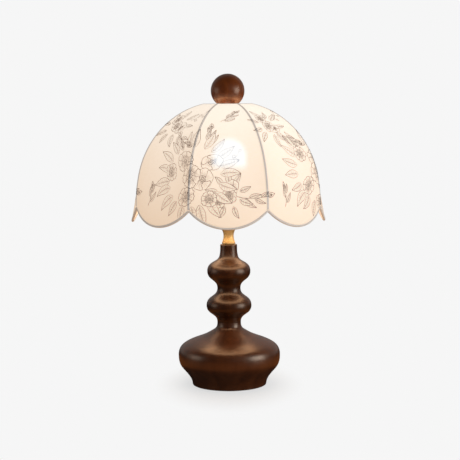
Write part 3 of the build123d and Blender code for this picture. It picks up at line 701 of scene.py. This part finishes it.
panel_columns = 40  # closer together near the ribs, where the cloth bends over them
panel_rows = 80
hem_cover = 0.45  # of the roll's radius, from its middle up to the cloth's edge inside it
to_seam = 0.99999  # of half a panel, so that a seam's points stay on their own panel
for number in range(rib_count):
    middle = number * 2 * half_panel
    gore = bmesh.new()
    bmesh.ops.create_grid(gore, x_segments=panel_columns, y_segments=panel_rows, size=1.0)
    threads = gore.loops.layers.uv.new("threads")
    flat_place = {}
    for vertex in gore.verts:
        share, climb = sin(vertex.co.x * pi / 2), (vertex.co.y + 1) / 2
        swing = half_panel * share
        foot_run = hem_height(swing) + hem_cover * hem_roll - flank_z
        run = foot_run + (ring_run - foot_run) * climb
        flat_place[vertex] = (swing * dome(run)[0], run)
        vertex.co = cloth_point(middle + swing * to_seam, run)
    for face in gore.faces:
        for corner in face.loops:
            corner[threads].uv = flat_place[corner.vert]
    flat_area = sum(face.calc_area() for face in gore.faces)
    bmesh.ops.recalc_face_normals(gore, faces=gore.faces)
    outside = gore.faces[:][0]
    if outside.normal.dot(outside.calc_center_median() - Vector((0, 0, flank_z))) < 0:
        bmesh.ops.reverse_faces(gore, faces=gore.faces)
    bmesh.ops.solidify(gore, geom=gore.faces[:], thickness=cloth_thickness)
    for face in gore.faces:
        face.smooth = True
    panel = show(f"shade_panel_{number + 1}", gore, cloth_material)
    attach(panel, "shade")
    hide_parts(f"panel_{number + 1}")


# Print on the cloth
# Sprays of cosmos, poppies and willow leaves in thin grey-brown lines, printed on the cotton before
# it was cut. They run on over the seams, and the hem and the top binding cut them off.
ink_width = 0.0007
ink_step = 0.0011  # between the points of a line
ink_proud = 0.00009  # of the cloth
line_end = 0.4  # of the pen's width, at the ends of a line
stem_weight = 1.3  # of the pen's width, against 1 for an outline
stalk_weight = 0.8
midrib_weight = 0.7
filament_weight = 0.6
vein_weight = 0.45
crease_weight = 0.4
golden_turn = 2.4  # radians, so that no two things set round a middle fall in line
berry_radius = 0.0021
berry_pitch = 0.006  # along the twig
berry_stalk = 0.0065
button = 0.17  # of a flower's size, the radius of its middle
button_dots = 9


def sweep(at, heading, length, bend=0.0):
    """Points along a line that leaves a place at a heading and bends steadily on its way."""
    count = max(3, ceil(length / ink_step))
    points = [at]
    for number in range(count):
        points.append(points[-1] + rect(length / count, heading + bend * (number + 0.5) / count))
    return points


def bow(first, last, sag):
    """Points along a shallow bow that stands off by sag of its length, to the left on the way."""
    count = max(2, ceil(abs(last - first) / ink_step))
    shares = [number / count for number in range(count + 1)]
    return [first + (last - first) * complex(at, 4 * sag * at * (1 - at)) for at in shares]


def ring(middle, radius):
    count = max(6, ceil(2 * pi * radius / ink_step))
    return [middle + rect(radius, 2 * pi * number / count) for number in range(count + 1)]


def spaced(first, last, count):
    return [first + (last - first) * number / (count - 1) for number in range(count)]


class Spray:
    """Pen lines of one spray, as complex numbers: metres to the right and up from its root.
    Headings are in radians from there to the left. What is drawn later passes behind the shapes
    drawn before it."""

    def __init__(self, seed):
        self.hand = Random(seed)
        self.lines = []
        self.shapes = []

    def hides(self, point):
        for middle, reach, outline in self.shapes:
            if abs(point - middle) < reach:
                spokes = [corner - point for corner in outline]
                turns = sum(phase(b * a.conjugate()) for a, b in zip(spokes, spokes[1:]))
                if abs(turns) > pi:
                    return True
        return False

    def line(self, points, weight=1.0):
        """Keeps the stretches of a line that no earlier shape hides."""
        shown = []
        for point in points:
            if self.hides(point):
                self.lines.append((shown, weight))
                shown = []
            else:
                shown.append(point)
        self.lines.append((shown, weight))

    def shape(self, outline, weight=1.0):
        """Draws a closed outline, and hides what comes later inside it."""
        self.line(outline, weight)
        middle = sum(outline) / len(outline)
        self.shapes.append((middle, max(abs(corner - middle) for corner in outline), outline))

    def leaf(self, root, heading, length, plump=0.36, bend=0.5, veins=5):
        """A pointed leaf with its midrib and slanting side veins."""
        rib = sweep(root, heading, length, bend)
        last = len(rib) - 1
        edges = []
        for side in (1, -1):
            edge = []
            for number, place in enumerate(rib):
                share = number / last
                half = 0.5 * plump * length * sin(pi * share**0.75)
                edge.append(place + rect(side * half, heading + bend * share + pi / 2))
            edges.append(edge)
        self.line(rib, midrib_weight)
        for number in range(2 * veins):
            low = rib[int(last * (0.08 + 0.37 * number / veins))]
            for side, edge in zip((-1, 1), edges):
                high = edge[int(last * (0.28 + 0.32 * number / veins))]
                reach = 0.85 if number % 2 == 0 else 0.4 + 0.1 * side
                self.line(bow(low, low + reach * (high - low), side * 0.12), vein_weight)
        self.shape(edges[0] + edges[1][::-1] + edges[0][:1])

    def bud(self, root, heading, size):
        """A plump bud between two small plain leaves."""
        for side in (1, -1):
            lean = 0.45 * side
            self.leaf(root, heading + lean, 0.6 * size, plump=0.3, bend=-0.7 * side, veins=0)
        self.leaf(root, heading, size, plump=0.55, bend=0.0, veins=2)

    def berries(self, root, heading, count):
        """A bare twig with round berries on short stalks."""
        stem = sweep(root, heading, berry_pitch * count, 0.7)
        for number in range(1, count + 1):
            knot = stem[(len(stem) - 1) * number // count]
            middle = knot + rect(berry_stalk, heading + 0.9 * (-1) ** number)
            self.line(bow(middle + 0.0012j, middle + 0.0012, 0.2), filament_weight)
            self.shape(ring(middle, berry_radius))
            self.line(bow(knot, middle, 0.1), stalk_weight)
        self.line(stem)

    def blossom(self, middle, size, petals=8, teeth=3, tooth=0.045, overlap=1.15, stamens=0):
        """An open flower, seen a little from the side: a button in a ring of veined petals."""
        lean = self.hand.uniform(0, pi)
        start = self.hand.uniform(0, 2 * pi)
        squash = self.hand.uniform(0.72, 0.95)

        def place(out, turn):
            return middle + rect(size, lean) * complex(out * cos(turn), squash * out * sin(turn))

        for number in range(button_dots):
            dot = place(button * sqrt(number / (button_dots + 1)), golden_turn * number)
            self.line(ring(dot, 0.025 * size), stalk_weight)
        self.shape([place(button, turn) for turn in spaced(0, 2 * pi, 19)])
        for number in range(stamens):
            turn = 2 * pi * number / stamens
            tip = place(self.hand.uniform(0.27, 0.38), turn)
            self.shape(ring(tip, 0.022 * size), 1.2)
            self.line(bow(place(button, turn), tip, 0.1), filament_weight)
        for number in range(petals):
            axis = start + 2 * pi * number / petals
            half = overlap * pi / petals
            reach = self.hand.uniform(0.9, 1.06)

            def spot(out, across):
                """Out from the button at 0 to the rim at 1, across from side to side at -1 to 1."""
                wide = min(1.0, out / 0.7 + 0.05) ** 0.6
                return place(button + (reach - button) * out, axis + half * across * wide)

            side = spaced(0, 0.85, ceil(0.8 * size / ink_step))
            rim = []
            for across in spaced(-1, 1, 9 * teeth):
                dent = tooth * (1 - cos(pi * teeth * (across + 1)))
                rim.append(spot(1 - 0.15 * across**4 - dent, across))
            for across in (-0.62, -0.3, 0.0, 0.32, 0.6):
                near, far = self.hand.uniform(0.15, 0.3), self.hand.uniform(0.5, 0.85)
                self.line([spot(out, across) for out in spaced(near, far, 10)], crease_weight)
            outline = [spot(out, -1) for out in side] + rim + [spot(out, 1) for out in side[::-1]]
            self.shape(outline + outline[:1])

    def cluster(self, middle, count, size):
        """Blossoms crowded round a middle one, with leaves that stick out from behind them."""
        start = self.hand.uniform(0, 2 * pi)
        pitch = 0.98 * size
        poppy = {"petals": 5, "teeth": 2, "tooth": 0.04, "overlap": 1.45, "stamens": 14}
        for number in range(count):
            place = middle + rect(pitch * sqrt(number), golden_turn * number + start)
            if number % 3 == 1:
                self.blossom(place, 0.95 * size, **poppy)
            else:
                self.blossom(place, size * (1 - 0.05 * number))
        leaves = 3 * count
        for number in range(leaves):
            turn = start + 2 * pi * (number + self.hand.uniform(-0.25, 0.25)) / leaves
            root = middle + rect(pitch * sqrt(count - 1), turn)
            bend = self.hand.uniform(-0.9, 0.9)
            length = size * self.hand.uniform(1.3, 1.9)
            self.leaf(root, turn - 0.5 * bend, length, plump=0.4, bend=bend)

    def twig(self, root, heading, length, bend, leaf_length):
        """A stem that ends in a bud, with leaves on either side in turn that get smaller."""
        stem = sweep(root, heading, length, bend)
        self.bud(stem[-1], heading + bend, 0.6 * leaf_length)
        count = max(2, round(2.1 * length / leaf_length))
        for number in range(count, 0, -1):
            share = number / (count + 1)
            lean = (-1) ** number * self.hand.uniform(0.5, 0.8)
            size = leaf_length * (1.15 - 0.5 * share) * self.hand.uniform(0.85, 1.1)
            knot = stem[int(share * (len(stem) - 1))]
            self.leaf(knot, heading + bend * share + lean, size, plump=0.32, bend=-0.8 * lean)
        self.line(stem, stem_weight)


def press(ink, spray, azimuth, climb):
    """Lays a spray on the cloth, its root azimuth degrees round and climb up from the hem."""
    across = ink.verts.layers.float_vector["across"]

    def lay(point):
        run = climb + point.imag - (flank_z - hem_z)
        return radians(azimuth) + point.real / dome(run)[0], run

    for points, weight in spray.lines:
        before = None
        for number, point in enumerate(points):
            turn, run = lay(point)
            lowest = hem_height(panel_swing(turn)) + hem_roll - flank_z
            ahead = points[min(number + 1, len(points) - 1)] - points[max(number - 1, 0)]
            if not lowest < run < ring_run - ring_wire or ahead == 0:
                before = None
                continue
            swell = line_end + (1 - line_end) * sin(pi * number / (len(points) - 1)) ** 0.5
            aside = 0.5j * ink_width * weight * swell * ahead / abs(ahead)
            left = cloth_point(*lay(point + aside), ink_proud)
            vertex = ink.verts.new(left)
            vertex[across] = cloth_point(*lay(point - aside), ink_proud) - left
            if before:
                ink.edges.new((before, vertex))
            before = vertex


ink_colour = (0.09, 0.06, 0.05, 1.0)
ink_glow = (0.21, 0.145, 0.11, 1.0)
ink_spot = (0.42, 0.47, 0.54, 1.0)


def printed_line():
    """Painted light in the ink's emission: brown where the light comes through the cloth behind it,
    pale over the bulb's painted spot, dark on the ribs' painted shadows.
    """
    material, start = new_material("print ink")
    place = start.node("ShaderNodeTexCoord", output="Object")
    _, from_middle, z, clear, other = panel_place(start, place)
    spot = bulb_spot(start, from_middle, z, other)
    lit_ink = spot.between(ink_glow, ink_spot)
    ink = start.node(
        "ShaderNodeBsdfPrincipled",
        inputs={
            "Base Color": ink_colour,
            "Roughness": 0.8,
            "Specular IOR Level": 0.2,
            "Emission Color": clear.between(grey(0.0), lit_ink),
            "Emission Strength": 1.0,
        },
    )
    start.node("ShaderNodeOutputMaterial", inputs={"Surface": ink})
    return material


ink_material = printed_line()
for quarter in range(4):
    ink = bmesh.new()
    across = ink.verts.layers.float_vector.new("across")
    side = 90 * quarter  # degrees round to it
    large = Spray(10 + quarter)
    large.cluster(0, count=7, size=0.018)
    large.cluster(rect(0.064, -0.45), count=3, size=0.012)
    large.twig(rect(0.075, -0.4), -0.25, length=0.045, bend=0.5, leaf_length=0.022)
    large.twig(rect(0.042, 1.2), 1.3, length=0.036, bend=0.5, leaf_length=0.021)
    large.berries(rect(0.05, 0.35), 0.3, count=4)
    press(ink, large, side - 22, climb=0.074)
    sprig = Spray(20 + quarter)
    sprig.twig(0, 0.6, length=0.03, bend=0.4, leaf_length=0.017)
    press(ink, sprig, side - 7, climb=0.165)
    band = Spray(30 + quarter)
    band.cluster(0, count=3, size=0.0125)
    band.twig(rect(0.02, -0.7), -0.8, length=0.04, bend=0.5, leaf_length=0.02)
    band.berries(rect(0.024, 0.5), 0.6, count=4)
    press(ink, band, side + 38, climb=0.155)
    low = Spray(40 + quarter)
    low.twig(0, 1.2, length=0.026, bend=0.5, leaf_length=0.018)
    press(ink, low, side + 35, climb=0.028)
    made = bmesh.ops.extrude_edge_only(ink, edges=ink.edges[:])
    for part in made["geom"]:
        if isinstance(part, bmesh.types.BMVert):
            part.co += part[across]
    for face in ink.faces:
        if face.normal.dot(face.calc_center_median() - Vector((0, 0, flank_z))) < 0:
            face.normal_flip()
    flowers = show(f"print_{quarter + 1}", ink, ink_material)
    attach(flowers, "shade")


# Rolled hem and top binding
# The panels' edges are turned round the scalloped hem wire and the top ring and sewn down, which
# leaves a small round roll with the pull of the stitches in it. The wire inside stops most of the
# light.
# The roll's light is painted into its emission: a dim glow where the wire stops the light, and a
# warmer, brighter one on its underside, where lamplight from inside falls.
roll_glow = (0.20, 0.16, 0.13, 1.0)
roll_under_glow = (0.30, 0.15, 0.06, 1.0)
under_from = -0.15  # how far a surface faces down where that glow starts, and where it is full
under_full = -0.95
grain_height = 0.4  # of the roll's small bumps; the rest is the stitches' pull


def rolled_cloth():
    material, start = new_material("rolled cloth")
    place = start.node("ShaderNodeTexCoord", output="Object")
    normal = start.node("ShaderNodeTexCoord", output="Normal")
    facing = start.node("ShaderNodeSeparateXYZ", inputs={"Vector": normal}, output="Z")
    under = facing.ease(under_from, under_full)
    grain = start.node(
        "ShaderNodeTexNoise", inputs={"Vector": place, "Scale": 900.0, "Detail": 3.0}
    )
    pulls = start.node(
        "ShaderNodeTexNoise", inputs={"Vector": place, "Scale": 260.0, "Detail": 1.0}
    )
    height = grain_height * grain + (1 - grain_height) * pulls
    bump = start.node(
        "ShaderNodeBump", inputs={"Strength": 0.5, "Distance": 0.0002, "Height": height}
    )
    cloth = start.node(
        "ShaderNodeBsdfPrincipled",
        inputs={
            "Base Color": grain.ease(mottle_from, mottle_to).between(cloth_dark, cloth_light),
            "Roughness": 0.85,
            "Specular IOR Level": 0.2,
            "Sheen Weight": 0.15,
            "Emission Color": under.between(roll_glow, roll_under_glow),
            "Emission Strength": 1.0,
            "Normal": bump,
        },
    )
    start.node("ShaderNodeOutputMaterial", inputs={"Surface": cloth})
    return material


roll_material = rolled_cloth()
weld = 0.00002  # apart, below which two points are one


def show_roll(name, shape, replaced):
    """Makes a smooth mesh of a roll, as a piece that rides on the shade in place of a CAD node."""
    bmesh.ops.remove_doubles(shape, verts=shape.verts, dist=weld)
    bmesh.ops.recalc_face_normals(shape, faces=shape.faces)
    for face in shape.faces:
        face.smooth = True
    piece = show(name, shape, roll_material)
    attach(piece, "shade")
    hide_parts(replaced)


# Each scallop is an arc about a centre in its own leaning plane, so the roll is a circle spun
# about that centre, mitred at the cusps and repeated round the lamp.
roll_overlap = 1.12  # of the arc from cusp to cusp, so that there is some to mitre off
roll_sides = 14
roll_steps = 64
downhill = Vector((0, -hem_lean, hem_z - cusp_z)).normalized()
lowest = Vector((0, -hem_radius, hem_z))
hem_centre = lowest - downhill * hem_arc
hem_axis = downhill.cross(Vector((1, 0, 0)))
hem_swing = roll_overlap * atan2(hem_chord, hem_arc - hem_sag)
roll = bmesh.new()
section = Matrix((hem_axis, downhill, Vector((1, 0, 0)))).transposed().to_4x4()
to_start = Matrix.Translation(hem_centre) @ Matrix.Rotation(-hem_swing, 4, hem_axis)
bmesh.ops.create_circle(
    roll,
    segments=roll_sides,
    radius=hem_roll,
    matrix=to_start @ Matrix.Translation(downhill * hem_arc) @ section,
)
bmesh.ops.spin(
    roll,
    geom=roll.verts[:] + roll.edges[:],
    cent=hem_centre,
    axis=hem_axis,
    angle=2 * hem_swing,
    steps=roll_steps,
)
for side in (-1, 1):
    bmesh.ops.bisect_plane(
        roll,
        geom=roll.verts[:] + roll.edges[:] + roll.faces[:],
        dist=0.000001,
        plane_co=(0, 0, 0),
        plane_no=(side * cos(half_panel), sin(half_panel), 0),
        clear_outer=True,
    )
pull_depth = 0.00012
pull_fade = 0.004  # from a cusp, over which the pull dies away
stitch_waves = 150  # of the pull, in radians for each radian round the scallop
pucker_waves = 37
for vertex in roll.verts:
    spoke = vertex.co - hem_centre
    swing = atan2(spoke.x, spoke.dot(downhill))
    core = hem_centre + Matrix.Rotation(swing, 4, hem_axis) @ (downhill * hem_arc)
    fade = clamp((hem_chord - abs(vertex.co.x)) / pull_fade)
    waves = 0.5 + 0.5 * sin(swing * stitch_waves) * cos(swing * pucker_waves)
    pull = 1 - fade * pull_depth / hem_roll * waves
    vertex.co = core + (vertex.co - core) * pull
bmesh.ops.spin(
    roll,
    geom=roll.verts[:] + roll.edges[:] + roll.faces[:],
    cent=(0, 0, 0),
    axis=(0, 0, 1),
    angle=2 * pi,
    steps=rib_count,
    use_duplicate=True,
    use_merge=True,
)
show_roll("shade_hem", roll, "hem_binding")

top_roll_radius = 0.0022
top_roll_steps = 120
top_roll = bmesh.new()
bmesh.ops.create_circle(
    top_roll,
    segments=roll_sides,
    radius=top_roll_radius,
    matrix=Matrix.Translation((ring_radius, 0, ring_z)) @ Matrix.Rotation(pi / 2, 4, "X"),
)
bmesh.ops.spin(
    top_roll,
    geom=top_roll.verts[:] + top_roll.edges[:],
    cent=(0, 0, 0),
    axis=(0, 0, 1),
    angle=2 * pi,
    steps=top_roll_steps,
    use_merge=True,
)
show_roll("shade_top_binding", top_roll, "ring_binding")


# Felt under the foot
# A disc of thick brown felt, cut with shears and glued over the cover board, so that the foot
# doesn't scratch. Its cut edge is soft and a little uneven.
felt_low, felt_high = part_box("felt_pad")
felt_radius = felt_high.x
felt_rim = 0.0012  # of the disc, along its cut edge
felt_stray = 0.006  # of the radius, how far in the shears may stray
felt = bmesh.new()
bmesh.ops.create_circle(felt, cap_ends=True, segments=96, radius=felt_radius)
bmesh.ops.inset_region(felt, faces=felt.faces[:], thickness=felt_rim)
inner_disc = [face for face in felt.faces if len(face.verts) > 4]
bmesh.ops.inset_region(felt, faces=inner_disc, thickness=0.02)
shears = Random(4)
for vertex in felt.verts:
    if vertex.co.length > felt_radius - weld:
        vertex.co *= 1 - shears.uniform(0.0, felt_stray)
    vertex.co.z = felt_high.z
bmesh.ops.recalc_face_normals(felt, faces=felt.faces)
bmesh.ops.solidify(felt, geom=felt.faces[:], thickness=felt_high.z - felt_low.z)
for vertex in felt.verts:
    vertex.co.z = min(max(vertex.co.z, felt_low.z), felt_high.z)
brown_felt = stock(
    "brown felt", (0.035, 0.022, 0.016), 0.92, mottle=0.35, scale=1300.0, depth=0.0004
)
felt_disc = show("felt_disc", felt, brown_felt)
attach(felt_disc, "lamp")
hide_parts("felt_pad")
